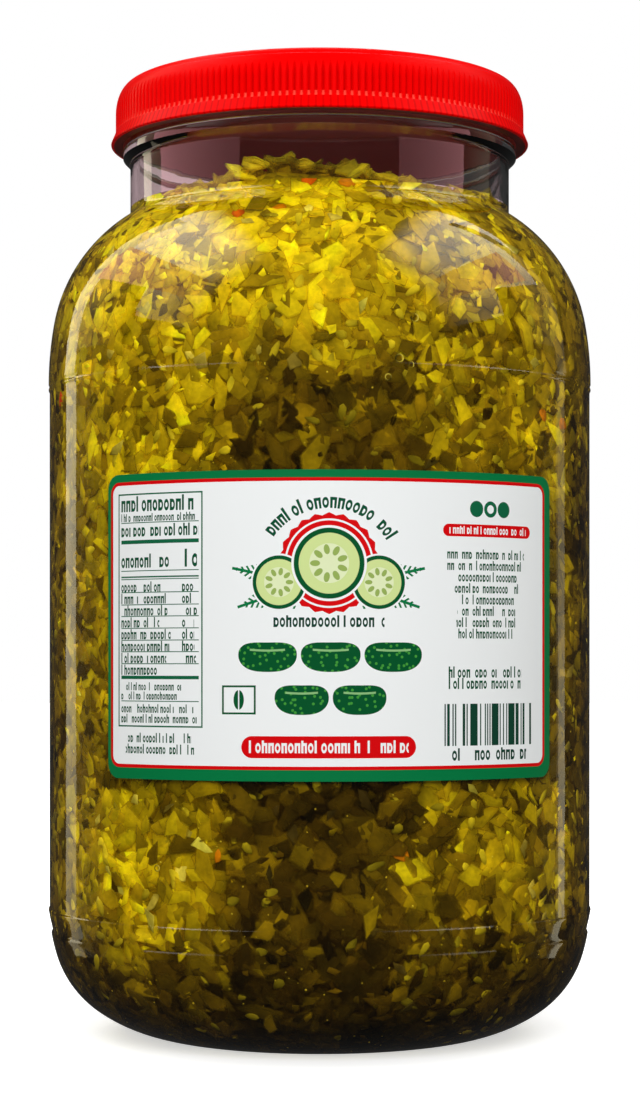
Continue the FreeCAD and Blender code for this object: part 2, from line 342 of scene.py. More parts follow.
jar = turned("jar_shell", section, AROUND)
jar.data.materials.append(clear_plastic)
jar.data.materials.append(wet_inside)
rings = section[section[:, 0] > 1e-6]

# The second finish lies on the inner wall, which follows the rim, up to the relish's level.
wetted = (np.arange(len(rings) - 1) > rings[:, 1].argmax()) & (rings[:-1, 1] < FILL_LEVEL)
ends = np.repeat([False, True], AROUND)
finish_of_face = np.concatenate([np.repeat(wetted, AROUND), ends]).astype(np.int32)
jar.data.polygons.foreach_set("material_index", finish_of_face)
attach(jar, "root")
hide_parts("jar")


# ---- Relish: body ------------------------------------------------------------------------------
# The mass of finely chopped cucumber in the middle of the jar, seen only between the pieces in
# front of it, and the brine, which fills the jar to the wall and tints all that lies in it.

CORE_DEPTH = 3.6
CORE_DROP = 3.5
BRINE_BITE = 0.3
BRINE_DROP = 2.0
HEAP_HEIGHT = 5.8
HEAP_PLACE = (-4.0, -44.0)
HEAP_SPREAD = (19.0, 13.0)


def heap_fall(x):
    """Logarithm of the heap's share of its full height at x: less the fourth power of the way out."""
    return -(((x - HEAP_PLACE[0]) / HEAP_SPREAD[0]) ** 4)


def fill_height(x, y):
    """Height of the relish's top in millimetres: two crossed waves and a heap against the front."""
    lumps = np.sin(x / 6.3 + 0.7) * np.cos(y / 5.2) + 0.6 * np.sin((x + 1.4 * y) / 8.1)
    heap = HEAP_HEIGHT * np.exp(heap_fall(x) - ((y - HEAP_PLACE[1]) / HEAP_SPREAD[1]) ** 2)
    return FILL_LEVEL + 0.8 * lumps + heap


# Slow waves: how fast each runs along x, y and z, and where it starts.
PATCHES = np.random.default_rng(5).normal(0.0, 1.0, (14, 4)) * (0.22, 0.22, 0.22, 9.0)


def tone_with_painted_light(points):
    """How pale the relish is at points in millimetres, from 0 to 1.

    It is painted light and shade: paler with height and to either side of the front, where the lamps fall,
    and darkest down the front and at the foot. The logarithm of the tone is read from two short tables of
    height, blended by the angle from the front. Slow waves, a table of the angle that paints shade towards
    both sides, and the heap's shade add to it."""
    x, y, z = points[..., 0], points[..., 1], points[..., 2]
    angle = np.degrees(np.arctan2(x, -y))
    heights = [0, 14, 28, 45, 62, 75, 150, 172, 186, 197, 235]
    in_front = np.log([0.025, 0.035, 0.065, 0.085, 0.07, 0.06, 0.07, 0.13, 0.31, 0.64, 0.70])
    at_sides = np.log([0.025, 0.045, 0.17, 0.42, 0.37, 0.25, 0.36, 0.38, 0.42, 0.58, 0.66])
    share = np.interp(np.abs(angle + 1.0), [13.0, 27.0], [0.0, 1.0])
    level = np.interp(z, heights, in_front) * (1.0 - share) + np.interp(z, heights, at_sides) * share
    waves = sum(0.11 * np.sin(x * a + y * b + z * c + d) for a, b, c, d in PATCHES)
    waves *= np.interp(z, [150.0, 200.0], [1.0, 0.45])
    # Painted shade by the angle round the jar: darkest a quarter turn to either side, most towards +X.
    turns = [-180, -120, -88, -72, -62, -48, -20, 20, 48, 60, 72, 90, 120, 180]
    shade_by_turn = [0.0, -0.2, -1.0, -0.65, 0.15, 0.12, 0.0, -0.25, -0.3, -0.3, -0.9, -1.3, -0.3, 0.0]
    heap = -0.45 * np.exp(heap_fall(x)) * (z > FILL_LEVEL + 0.8) * (y < -20.0)
    return np.exp(level + waves + np.interp(angle, turns, shade_by_turn) + heap)


def sameness(tone):
    """How strongly the pieces differ in tone, by the tone itself: less where the relish is paler."""
    return np.interp(tone, [0.04, 0.12, 0.35, 0.6], [1.2, 1.15, 0.85, 0.6])


def relish_colour(pale):
    """Pigment of cucumber in brine by how pale it is: the darker, the browner."""
    green = np.interp(np.log(pale), np.log([0.02, 0.1, 0.3, 0.7]), [0.52, 0.60, 0.68, 0.76])
    blue = np.interp(np.log(pale), np.log([0.02, 0.1, 0.7]), [0.03, 0.018, 0.014])
    return np.stack([pale, pale * green, pale * blue], axis=-1)


def filled(name, gap, drop):
    """Solid inside the wall: the wall's section set in by a gap, closed by the uneven top."""
    wall = spread(inner_wall(gap), 4.0)
    wall = wall[wall[:, 1] < FILL_LEVEL - drop - 1.0]
    top_radius = np.linspace(wall[-1, 0], 0.0, 16)[1:]
    top = np.stack([top_radius, np.full(len(top_radius), FILL_LEVEL - drop)], axis=1)
    start = np.array([[0.0, wall[0, 1]]])
    piece = turned(name, np.concatenate([start, wall, top]), 192)
    points = np.empty(len(piece.data.vertices) * 3)
    piece.data.vertices.foreach_get("co", points)
    points = points.reshape(-1, 3) / MM
    raised = points[:, 2] > FILL_LEVEL - drop - 0.9
    points[raised, 2] = fill_height(points[raised, 0], points[raised, 1]) - drop
    piece.data.vertices.foreach_set("co", (points * MM).ravel())
    piece.data.update()
    return piece, points


def stained(mesh, colour, solidity=None):
    """Gives a mesh a colour and a solidity a point, under the name that the finishes read."""
    paint = mesh.color_attributes.new("tint", "FLOAT_COLOR", "POINT")
    solidity = np.ones(len(colour)) if solidity is None else solidity
    paint.data.foreach_set("color", np.column_stack([colour, solidity]).astype(np.float32).ravel())


def in_jar(piece, finish):
    """Fixes a piece of the filling in the frame."""
    piece.data.materials.append(finish)
    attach(piece, "root")
    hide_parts("relish")


deep = Finish("deep_relish")
stain = deep.node("Attribute", {"attribute_name": "tint"}, {}, "Color")
crumb_place = {"Vector": deep.place(), "Scale": 330.0}
crumbs = deep.node("TexVoronoi", {"feature": "F1"}, crumb_place, "Color")
crumb = deep.node("SeparateColor", {}, {"Color": crumbs}, 0)
crumb_gap = deep.node("TexVoronoi", {"feature": "DISTANCE_TO_EDGE"}, crumb_place, "Distance")
shade = deep.node("VectorMath", {"operation": "SCALE"}, {0: stain, "Scale": crumb * 0.9 + 0.4})
lumpy = deep.node("Bump", {}, {"Strength": 0.8, "Distance": 0.001, "Height": crumb_gap})
deep_relish = deep.surface(deep.node("BsdfPrincipled", {}, {
    "Base Color": shade, "Roughness": 0.6, "Specular IOR Level": 0.05, "Normal": lumpy}))
core, core_points = filled("relish_core", CORE_DEPTH, CORE_DROP)
# The core's colour carries the same painted light and shade, a fifth darker.
stained(core.data, relish_colour(np.clip(tone_with_painted_light(core_points) * 0.8, 0.012, 0.7)))
in_jar(core, deep_relish)

salt_water = Finish("brine")
brine_clear = salt_water.surface(salt_water.node("BsdfTransparent", {}, {"Color": (1.0, 0.96, 0.5)}))
brine = filled("brine", -BRINE_BITE, BRINE_DROP)[0]
in_jar(brine, brine_clear)


# ---- Relish: chopped pieces -----------------------------------------------------------------
# Cucumber flesh chopped into flat angular pieces, with darker pieces of skin, all pressed against
# the wall by their own weight. Each piece is a prism of four or five sides with bevelled faces.

WALL_GAP = 0.15
TOP_REACH = 51.2
GLOW = 0.9

line = spread(inner_wall(WALL_GAP), 0.5)
line = line[line[:, 1] < FILL_LEVEL + 8.0]
run = np.concatenate([[0.0], np.cumsum(np.hypot(*np.diff(line, axis=0).T))])
slope = np.gradient(line, run, axis=0)
slope /= np.linalg.norm(slope, axis=1, keepdims=True)


def against_wall(along, around, depth, azimuth):
    """Place of a point by its run along the wall's section, its distance round the jar from an
    azimuth, and its depth below the wall: the section's point less the depth along its normal."""
    radius = np.interp(along, run, line[:, 0])
    height = np.interp(along, run, line[:, 1])
    normal_r = np.interp(along, run, slope[:, 1])
    normal_z = np.interp(along, run, -slope[:, 0])
    angle = azimuth + around / np.maximum(radius, 12.0)
    radius = radius - normal_r * depth
    height = height - normal_z * depth
    return np.stack([radius * np.cos(angle), radius * np.sin(angle), height], axis=-1)


def sown(rng, count):
    """Random places on the inside of the wall, evenly dense, up to the relish's top: runs along
    the section, weighted by the radius there, and angles round the jar."""
    weight = np.maximum(line[:, 0], 0.5)
    share = np.concatenate([[0.0], np.cumsum(0.5 * (weight[1:] + weight[:-1]) * np.diff(run))])
    along = np.interp(rng.random(2 * count) * share[-1], share, run)
    azimuth = rng.uniform(0, 2 * np.pi, 2 * count)
    spot = against_wall(along, 0.0, 1.0, azimuth)
    under = spot[:, 2] < fill_height(spot[:, 0], spot[:, 1]) - 0.5
    keep = np.flatnonzero(under)[:count]
    return along[keep, None], azimuth[keep, None]


def tumbled(rng, local, tilt):
    """Turns each small thing by a random spin about its own Z and then leans it in a random way."""
    count = len(local)
    spin = rng.uniform(0, 2 * np.pi, (count, 1))
    toward = rng.uniform(0, 2 * np.pi, (count, 1))
    lean = np.abs(rng.normal(0.0, tilt, (count, 1)))
    x = local[..., 0] * np.cos(spin) - local[..., 1] * np.sin(spin)
    y = local[..., 0] * np.sin(spin) + local[..., 1] * np.cos(spin)
    u = x * np.cos(toward) + y * np.sin(toward)
    v = y * np.cos(toward) - x * np.sin(toward)
    z = u * np.sin(lean) + local[..., 2] * np.cos(lean)
    u = u * np.cos(lean) - local[..., 2] * np.sin(lean)
    return u * np.cos(toward) - v * np.sin(toward), u * np.sin(toward) + v * np.cos(toward), z


def pressed(rng, local, tilt, depth, places):
    """Sets small things at places on the wall and random depths behind it. What would pass the
    wall is pressed flat on it. Gives the points and how deep each lies."""
    x, y, z = tumbled(rng, local, tilt)
    along, azimuth = places
    middle = depth[0] + (depth[1] - depth[0]) * rng.random((len(local), 1)) ** 1.3
    below = middle - z
    below = np.maximum(np.where(below < 0.0, below * 0.06, below), -0.1)
    return against_wall(along + x, y, below, azimuth), below


def grains(name, points, faces, colour, solidity=None):
    """One mesh of many small things: the faces of one, repeated for each set of points."""
    count, each = points.shape[:2]
    triangles = (faces[None] + (np.arange(count) * each)[:, None, None]).reshape(-1, 3).astype(np.int32)
    mesh = bpy.data.meshes.new(name)
    mesh.vertices.add(count * each)
    mesh.vertices.foreach_set("co", (points * MM).astype(np.float32).ravel())
    mesh.loops.add(triangles.size)
    mesh.loops.foreach_set("vertex_index", triangles.ravel())
    mesh.polygons.add(len(triangles))
    mesh.polygons.foreach_set("loop_start", np.arange(0, triangles.size, 3, dtype=np.int32))
    mesh.update()
    stained(mesh, colour.reshape(-1, 3), solidity)
    piece = bpy.data.objects.new(name, mesh)
    bpy.context.scene.collection.objects.link(piece)
    return piece


def chopped(name, seed, count, sides, size, thickness, depth, tilt, paleness, contrast, milk):
    """Many flat bevelled pieces in one mesh.

    Round each piece's middle its corners lie at uneven angles and distances, drawn out along one
    way. The outline is repeated at three levels, the outer two drawn in for the bevel, and a
    point in the middle closes each face. The piece is bent a little, then pressed to the wall,
    or laid on the relish's top if it has no depth. It takes the relish's tone where it lies, times
    a random share, and milk makes it greyer."""
    rng = np.random.default_rng(seed)
    along, azimuth = sown(rng, count)
    count = len(along)
    corner = (np.arange(sides) + rng.uniform(-0.34, 0.34, (count, sides))) * 2 * np.pi / sides
    drawn_out = np.sqrt(rng.uniform(1.0, 2.4, (count, 1)))
    half = size[0] + (size[1] - size[0]) * rng.random((count, 1)) ** 1.3
    distance = half * rng.uniform(0.7, 1.15, (count, sides))
    long_way, short_way = distance * np.cos(corner) * drawn_out, distance * np.sin(corner) / drawn_out
    outline = np.stack([long_way, short_way], axis=-1)
    thick = rng.uniform(*thickness, (count, 1))
    local = np.empty((count, 3 * sides + 2, 3))
    for level, (rise, inset) in enumerate([(-0.5, 0.85), (0.1, 1.0), (0.5, 0.82)]):
        ring = slice(level * sides, (level + 1) * sides)
        local[:, ring, :2] = outline * inset
        local[:, ring, 2] = rise * thick
    local[:, 3 * sides:, :2] = 0.0
    local[:, 3 * sides, 2] = -0.5 * thick[:, 0]
    local[:, 3 * sides + 1, 2] = 0.56 * thick[:, 0]
    bend = rng.uniform(-0.1, 0.16, (count, 1))
    local[..., 2] -= bend * local[..., 0] ** 2 / half
    if depth is None:
        turned_x, turned_y, turned_z = tumbled(rng, local, tilt)
        far = 50.0 * np.sqrt(rng.random((count, 1)))
        x, y = far * np.cos(azimuth), far * np.sin(azimuth)
        below = np.zeros_like(turned_x)
        points = np.stack([x + turned_x, y + turned_y, fill_height(x, y) - 1.0 + turned_z], axis=-1)
        reach = np.hypot(points[..., 0], points[..., 1])
        points[..., :2] *= np.minimum(1.0, TOP_REACH / reach)[..., None]
    else:
        points, below = pressed(rng, local, tilt, depth, (along, azimuth))

    middle = points.mean(axis=1)
    tone = tone_with_painted_light(middle)
    tone *= paleness * np.exp(rng.normal(0.0, contrast, count) * sameness(tone))
    pigment = relish_colour(np.clip(tone, 0.008, 0.85))
    pigment[:, 1] *= rng.uniform(0.93, 1.07, count)
    pigment[:, 0] *= 1.0 - 0.4 * milk
    pigment[:, 2] += milk * pigment[:, 1]
    way = rng.uniform(0, 2 * np.pi, (count, 1))
    across = (local[..., 0] * np.cos(way) + local[..., 1] * np.sin(way)) / half
    # Painted light in each piece's colour: lighter towards one side, lighter round its bevel rings, and
    # darker the deeper it lies behind the wall.
    painted_light = 1.0 + rng.uniform(0.05, 0.5, (count, 1)) * across
    painted_light[:, sides:3 * sides] *= rng.uniform(1.0, 1.3, (count, 1))
    painted_light *= np.exp(-np.maximum(below, 0.0) / 12.0)
    colour = np.clip(pigment[:, None] * painted_light[..., None], 0.0, 0.9)
    solidity = np.tile(np.repeat([0.4, 0.15, 0.62, 1.0], [sides, sides, sides, 2]), count)

    ring = np.arange(sides)
    after = (ring + 1) % sides
    belt = np.stack([ring, after, sides + after, sides + ring], axis=1)
    quads = np.concatenate([belt, belt + sides])
    under = np.stack([np.full(sides, 3 * sides), after, ring], axis=1)
    over = np.stack([np.full(sides, 3 * sides + 1), 2 * sides + ring, 2 * sides + after], axis=1)
    faces = np.concatenate([quads[:, [0, 1, 2]], quads[:, [0, 2, 3]], under, over])[:, ::-1]
    return grains(name, points, faces, colour, solidity)


def wet_food(name, mottle, roughness, soft_rim, glow):
    """Wet cut food: each piece's own tint, mottled and veined by noise, with fine relief. A soft
    rim fades where a piece is thin, and glow is the share of lamp light that goes through it."""
    finish = Finish(name)
    tint = finish.node("Attribute", {"attribute_name": "tint"}, {}, "Color")
    spots = finish.noise(900.0, 3.0)
    veins = finish.noise(260.0, 2.0)
    level = (spots * 0.8 + veins * 1.2 - 1.0) * mottle + 1.0
    colour = finish.node("VectorMath", {"operation": "SCALE"}, {0: tint, "Scale": level})
    relief = finish.node("Bump", {}, {"Strength": 0.3, "Distance": 0.0004, "Height": spots})
    inputs = {"Base Color": colour, "Roughness": roughness, "Specular IOR Level": 0.12, "Normal": relief}
    if soft_rim:
        solid = finish.node("Attribute", {"attribute_name": "tint"}, {}, "Alpha")
        inputs["Alpha"] = (solid * (1.0 / soft_rim)).math("MINIMUM", 1.0)
    food = finish.node("BsdfPrincipled", {}, inputs)
    through = finish.node("BsdfTransparent", {}, {"Color": (0.98, 0.94, 0.72)})
    share = finish.node("LightPath", output="Is Shadow Ray") * glow
    return finish.surface(finish.node("MixShader", {}, {0: share, 1: food, 2: through}))


flesh = wet_food("cucumber_flesh", 0.9, 0.5, 0.85, GLOW)
crisp = wet_food("cucumber_cut", 0.8, 0.4, 0.0, GLOW)
rind = wet_food("cucumber_skin", 0.7, 0.4, 0.8, 0.35)

# Name, seed, number, sides, half width, thickness, depth behind the wall, tilt in radians, paleness,
# contrast from piece to piece, milk, finish.
heaped = [
    ("relish_flesh_front", 11, 2700, 5, (2.6, 5.8), (0.4, 1.1), (0.2, 1.8), 0.2, 1.0, 0.42, 0.0, flesh),
    ("relish_flesh_angular", 15, 2500, 4, (2.0, 5.0), (0.4, 1.1), (0.2, 2.2), 0.26, 1.05, 0.5, 0.0, flesh),
    ("relish_flesh_behind", 12, 5600, 5, (3.2, 6.6), (0.8, 1.6), (1.4, 3.4), 0.26, 1.05, 0.45, 0.0, flesh),
    ("relish_flesh_small", 13, 1700, 4, (0.7, 1.9), (0.4, 0.9), (0.1, 1.4), 0.6, 1.3, 0.5, 0.0, crisp),
    ("relish_flesh_milky", 16, 260, 4, (1.4, 3.2), (0.5, 1.0), (0.1, 1.2), 0.3, 1.0, 0.5, 0.3, crisp),
    ("relish_flesh_top", 17, 1300, 5, (1.8, 4.2), (0.6, 1.5), None, 0.8, 0.8, 0.4, 0.0, flesh),
    ("relish_skin", 14, 2200, 4, (1.6, 4.6), (0.4, 0.8), (0.1, 1.8), 0.3, 0.34, 0.5, 0.0, rind),
]
for *recipe, finish in heaped:
    in_jar(chopped(*recipe), finish)


# ---- Relish: seeds, peppers and bubbles --------------------------------------------------------
# Pale cucumber seeds, scraps of orange and red pepper, fine specks, and small gas bubbles. Each
# lies at a place on the jar's inner wall, a little behind it.

# How many points of the wall's section lie on the base, and a bubble's tube against its radius.
BASE_POINTS = 40
BUBBLE_TUBE = 0.2

def rounded(around, rows):
    """Points and triangles of a unit ball: rows of rings between two poles."""
    polar = np.linspace(0, np.pi, rows + 2)[1:-1]
    angle = np.linspace(0, 2 * np.pi, around, endpoint=False)
    ring = np.stack([
        np.sin(polar)[:, None] * np.cos(angle),
        np.sin(polar)[:, None] * np.sin(angle),
        np.broadcast_to(np.cos(polar)[:, None], (rows, around)),
    ], axis=-1).reshape(-1, 3)
    points = np.concatenate([ring, [[0, 0, 1.0], [0, 0, -1.0]]])
    here = np.arange(around)
    there = (here + 1) % around
    belt = np.stack([here, around + here, around + there, there], axis=1)
    quads = np.concatenate([belt + row * around for row in range(rows - 1)])
    top = np.stack([np.full(around, rows * around), here, there], axis=1)
    end = (rows - 1) * around
    foot = np.stack([np.full(around, rows * around + 1), end + there, end + here], axis=1)
    return points, np.concatenate([quads[:, [0, 1, 2]], quads[:, [0, 2, 3]], top, foot])[:, ::-1]


def at_spots(spots):
    """Runs along the wall and angles round the jar of spots given by their turn in degrees, from
    the front towards +X, and their height. The base is left out, so that height alone tells the run."""
    wall = slice(BASE_POINTS, None)
    along = np.interp(spots[:, 1], line[wall, 1], run[wall])
    return along[:, None], np.radians(spots[:, 0] - 90.0)[:, None]


rng = np.random.default_rng(31)
ball, ball_faces = rounded(8, 5)
along, azimuth = sown(rng, 900)
length, width = rng.uniform(1.6, 3.0, (len(along), 1)), rng.uniform(0.8, 1.35, (len(along), 1))
seed_shape = np.stack([
    ball[:, 0] * length,
    ball[:, 1] * width * (1.0 - 0.35 * ball[:, 0]),
    ball[:, 2] * 0.45 * width,
], axis=-1)
points = pressed(rng, seed_shape, 0.35, (0.3, 1.6), (along, azimuth))[0]
pale = tone_with_painted_light(points.mean(axis=1)) ** 0.4 * rng.uniform(0.35, 0.95, len(points))
pale = np.clip(pale, 0.05, 0.72)
seed_tint = np.stack([pale, pale * 0.78, pale * 0.06], axis=-1)[:, None] * (1.0 - 0.4 * ball[None, :, :1])
seed_coat = wet_food("cucumber_seed", 0.35, 0.3, 0.0, GLOW)
in_jar(grains("relish_seeds", points, ball_faces, seed_tint), seed_coat)

# The scraps in front lie where they are wanted, by turn and height, and the rest anywhere behind.
in_view = [
    (-69.0, 176.0), (-20.0, 221.0), (8.0, 230.5), (-3.0, 232.0), (52.0, 170.0), (-10.0, 222.0),
    (16.0, 56.0), (60.0, 168.0), (-20.0, 55.0)]
spots = np.concatenate([in_view, np.stack([rng.uniform(90, 270, 30), rng.uniform(20, 225, 30)], axis=1)])
length, width = rng.uniform(1.8, 3.4, (len(spots), 1)), rng.uniform(1.3, 2.2, (len(spots), 1))
flat = np.sign(ball[:, 2]) * ball[:, 2] ** 2 * 0.6
scrap_shape = np.stack([
    ball[:, 0] * length,
    ball[:, 1] * width * (1.0 + 0.4 * ball[:, 0]),
    np.broadcast_to(flat, (len(spots), len(ball))),
], axis=-1)
points = pressed(rng, scrap_shape, 0.3, (0.3, 1.0), at_spots(spots))[0]
orange = np.where(rng.random((len(spots), 1)) < 0.6, [[0.62, 0.20, 0.004]], [[0.70, 0.12, 0.004]])
orange[0] = (0.80, 0.07, 0.004)
scrap_tint = orange[:, None] * rng.uniform(0.6, 1.0, (len(spots), len(ball), 1))
in_jar(grains("relish_pepper", points, ball_faces, scrap_tint), wet_food("pepper", 0.5, 0.35, 0.0, GLOW))

speck, speck_faces = rounded(5, 3)
speck_places = sown(rng, 1400)
size = rng.uniform(0.12, 0.34, (len(speck_places[0]), 1, 1))
points = pressed(rng, speck[None] * size, 0.2, (0.2, 1.6), speck_places)[0]
gleam = rng.uniform(0.35, 0.8, (len(points), 1, 1)) * np.ones((1, len(speck), 1))
in_jar(grains("relish_specks", points, speck_faces, gleam * (1.0, 0.78, 0.12)), seed_coat)

# A bubble at the wall shows as a bright rim, so each is a ring: a small circle carried round.
turns, tube_turns = 20, 8
angles = [np.linspace(0, 2 * np.pi, count, endpoint=False) for count in (turns, tube_turns)]
around, across = (grid.ravel() for grid in np.meshgrid(*angles, indexing="ij"))
here = np.arange(turns * tube_turns).reshape(turns, tube_turns)
onward = np.roll(here, -1, 0)
loop = np.stack([here, onward, np.roll(onward, -1, 1), np.roll(here, -1, 1)], axis=-1).reshape(-1, 4)
ring_faces = np.concatenate([loop[:, [0, 1, 2]], loop[:, [0, 2, 3]]])
in_view = [(19.0, 192.5), (15.7, 182.0)]
spots = np.concatenate([in_view, np.stack([rng.uniform(-180, 180, 26), rng.uniform(35, 205, 26)], axis=1)])
size = rng.uniform(0.4, 0.9, len(spots))
size[:len(in_view)] = 1.0
size = size[:, None]
out = 1.0 + BUBBLE_TUBE * np.cos(across)
ring_shape = np.stack([
    np.cos(around) * out * size,
    np.sin(around) * out * size,
    BUBBLE_TUBE * np.sin(across) * size,
], axis=-1)
points = pressed(rng, ring_shape, 0.0, (0.3, 0.3), at_spots(spots))[0]
# The ring's colour is a painted highlight, stronger on one side of the ring.
painted_rim_highlight = 0.32 + 0.3 * np.sin(around - 0.6)[None, :, None] * np.ones((len(spots), 1, 1))
in_jar(grains("relish_bubbles", points, ring_faces, painted_rim_highlight * (1.0, 0.85, 0.35)), seed_coat)


# ---- Cap -------------------------------------------------------------------------------------
# Moulded red plastic screw cap, screwed down on the rim. Its shape, with all its grip grooves, is the
# imported one. Here it gets its satin red, with painted shade: darker in the grooves, a duller wine inside
# and dark under the lip, and a painted glint at the foot of each groove.

# How many grooves there are, then heights in metres: where their painted shade begins and where it is full,
# and the lower and upper edge of the painted glint at their foot.
GROOVES = 190
GROOVE_TOP, GROOVE_FULL = 0.2618, 0.258
GROOVE_END = (0.2523, 0.2536)

# Radius and height, in metres, that the bore, the ceiling and the lip lie within.
BORE = (0.0558, 0.2637)
CEILING = (0.0545, 0.2645)
LIP = (0.0578, 0.2492)


def any_of(*masks):
    """1 where any of the masks is."""
    total = masks[0]
    for mask in masks[1:]:
        total = total.math("MAXIMUM", mask)
    return total


def below(corner):
    """1 nearer the axis and lower than a corner given by its radius and height in metres."""
    return (radius < corner[0]) * (z < corner[1])


red = Finish("red_plastic")
grain = red.noise(2600.0, 2.0)
cloud = red.noise(40.0, 2.0)
colour = red.blend((0.92, 0.0003, 0.0005), (0.86, 0.0002, 0.0004), cloud)
spot = red.place()
x, y, z = (red.node("SeparateXYZ", {}, {"Vector": spot}, axis) for axis in "XYZ")
radius = (x * x + y * y) ** 0.5
turn = (y.math("ARCTAN2", x) * (GROOVES / (2 * math.pi))).math("FRACT")
# Painted shade: the grooves are coloured a darker red, fading in from GROOVE_TOP down to GROOVE_FULL.
painted_groove_shade = red.node("MapRange", {"interpolation_type": "SMOOTHSTEP"}, {
    "Value": (turn - 0.5).math("ABSOLUTE"), "From Min": 0.2, "From Max": 0.5})
painted_groove_shade = painted_groove_shade * red.node("MapRange", {}, {"Value": z, "From Min": GROOVE_TOP, "From Max": GROOVE_FULL})
# A painted glint: a light pinkish red at the foot of each groove.
painted_glint = painted_groove_shade * (z < GROOVE_END[1]) * (z > GROOVE_END[0])
colour = red.blend(colour, (0.66, 0.0002, 0.0004), painted_groove_shade)
colour = red.blend(colour, (1.0, 0.07, 0.045), painted_glint)
# Painted shade: inside the bore and under the ceiling the red is a duller wine.
colour = red.blend(colour, (0.6, 0.14, 0.19), any_of(below(BORE), below(CEILING)))
# Painted shade: under the lip the red is nearly black.
colour = red.blend(colour, (0.15, 0.03, 0.035), below(LIP))
skin = red.node("Bump", {}, {"Strength": 0.12, "Distance": 0.0001, "Height": grain})
red_plastic = red.surface(red.node("BsdfPrincipled", {}, {
    "Base Color": colour, "Roughness": 0.3, "Specular IOR Level": 0.03, "Normal": skin}))
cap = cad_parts["cap"]
cap.data.materials.clear()
cap.data.materials.append(red_plastic)


# ---- Label -----------------------------------------------------------------------------------
# Coated paper, printed in green and red on white, glued round the front of the label panel. The
# print is plain: strokes for words, gherkins for the title, cucumber slices with dill on top.

LABEL_TURN = 3.2
LABEL_RADIUS = 75.85
LABEL_FOOT = 74.2
EMBLEM = (-1.8, 55.4)
COLUMN = (-61.2, -36.1)
RULE_HALF = 0.12

paper = Finish("label_print")
spot = paper.place()
x, y, z = (paper.node("SeparateXYZ", {}, {"Vector": spot}, axis) for axis in "XYZ")
u = (x.math("ARCTAN2", 0.0 - y) - math.radians(LABEL_TURN)) * LABEL_RADIUS
v = z / MM - LABEL_FOOT


def past(place, first, last):
    """How far a place lies outside a stretch from first to last, or 0 within it."""
    return ((place - (first + last) / 2).math("ABSOLUTE") - (last - first) / 2).math("MAXIMUM", 0.0)


def frame_depth(left, right, foot, top, radius):
    """Distance inwards from a rectangle's edge, with round corners: the corner's radius less the
    distance to a smaller rectangle drawn in by that radius."""
    across = past(u, left + radius, right - radius)
    up = past(v, foot + radius, top - radius)
    return radius - (across * across + up * up) ** 0.5


def box(left, right, foot, top):
    """1 inside a rectangle given in millimetres on the label."""
    return (u > left) * (u < right) * (v > foot) * (v < top)


def pill(left, right, foot, top):
    """1 inside a bar with half-round ends: near enough to the line between its two centres."""
    size = (top - foot) / 2
    across = past(u, left + size, right - size)
    up = v - (foot + top) / 2
    return (across * across + up * up) < size * size


def disc(at_u, at_v, size, stretch=1.0):
    """Distance from a point as a share of a size."""
    across, up = (u - at_u) / stretch, v - at_v
    return (across * across + up * up) ** 0.5 / size


def chance(*places):
    """A random number for each whole-numbered place."""
    vector = paper.node("CombineXYZ", {}, dict(zip("XYZ", places)))
    return paper.node("TexWhiteNoise", {"noise_dimensions": "3D"}, {"Vector": vector}, "Value")


def writing(rows, share, letter, ragged=0.0, where=None):
    """Marks that stand for words, in rows given by left, right, foot, top, number, seed, centred.

    Each block adds its numbers where a point lies inside it. The height above the foot, divided
    by the pitch, then gives the row, and the distance from the left, divided by a letter's width,
    the letter. Random numbers shorten rows, leave gaps, and make a mark a ring, a stem or an arch."""
    across, up = where or (u, v)

    # Which block, row and letter a point is in.
    inside = start = long = base = pitch = lot = middled = 0.0
    for left, right, foot, top, number, seed, centred in rows:
        within = ((across - (left + right) / 2).math("ABSOLUTE") < ((right - left) / 2))
        within = within * ((up - (foot + top) / 2).math("ABSOLUTE") < ((top - foot) / 2))
        inside = within + inside
        start = within * left + start
        long = within * (right - left) + long
        base = within * foot + base
        pitch = within * ((top - foot) / number) + pitch
        lot = within * float(seed) + lot
        if centred:
            middled = within + middled
    level = (up - base) / pitch.math("MAXIMUM", 0.01)
    row = level.math("FLOOR")
    cut = chance(row, lot, 3.0) * ragged * long
    begins = cut * 0.5 * middled
    reach = across - start
    inside = inside * (reach > begins) * (reach < (long - cut + begins))
    place = reach / (pitch * (share * letter)).math("MAXIMUM", 0.01)
    kind = chance(place.math("FLOOR"), row, lot)

    # The mark, drawn by s and t, which are 0 at the letter's left and foot and 1 at its end and top.
    s, t = place.math("FRACT"), level.math("FRACT") / share
    off_s, off_t = (s - 0.42) / 0.42, (t - 0.5) / 0.5
    far = off_s * off_s + off_t * off_t
    ring = (far < 1.0) * (far > 0.2) * (kind < 0.58)
    stem = (s < 0.32) * (t < ((kind > 0.8) * 0.4 + 1.0)) * (kind > 0.42)
    arch = (s < 0.84) * (t < 1.0) * ((t > 0.72).math("MAXIMUM", s > 0.54)) * (kind > 0.6) * (kind < 0.86)
    return inside * (kind > 0.13) * any_of(ring, stem, arch)


white = (0.87, 0.89, 0.89)
green, dark_green, rule_green = (0.001, 0.175, 0.05), (0.001, 0.085, 0.022), (0.005, 0.12, 0.05)
red_ink, leaf, flesh_ink = (0.66, 0.001, 0.003), (0.05, 0.30, 0.04), (0.62, 0.74, 0.30)
printed = paper.blend(white, (0.83, 0.86, 0.86), paper.noise(30.0, 2.0) * 0.4)
inks = []

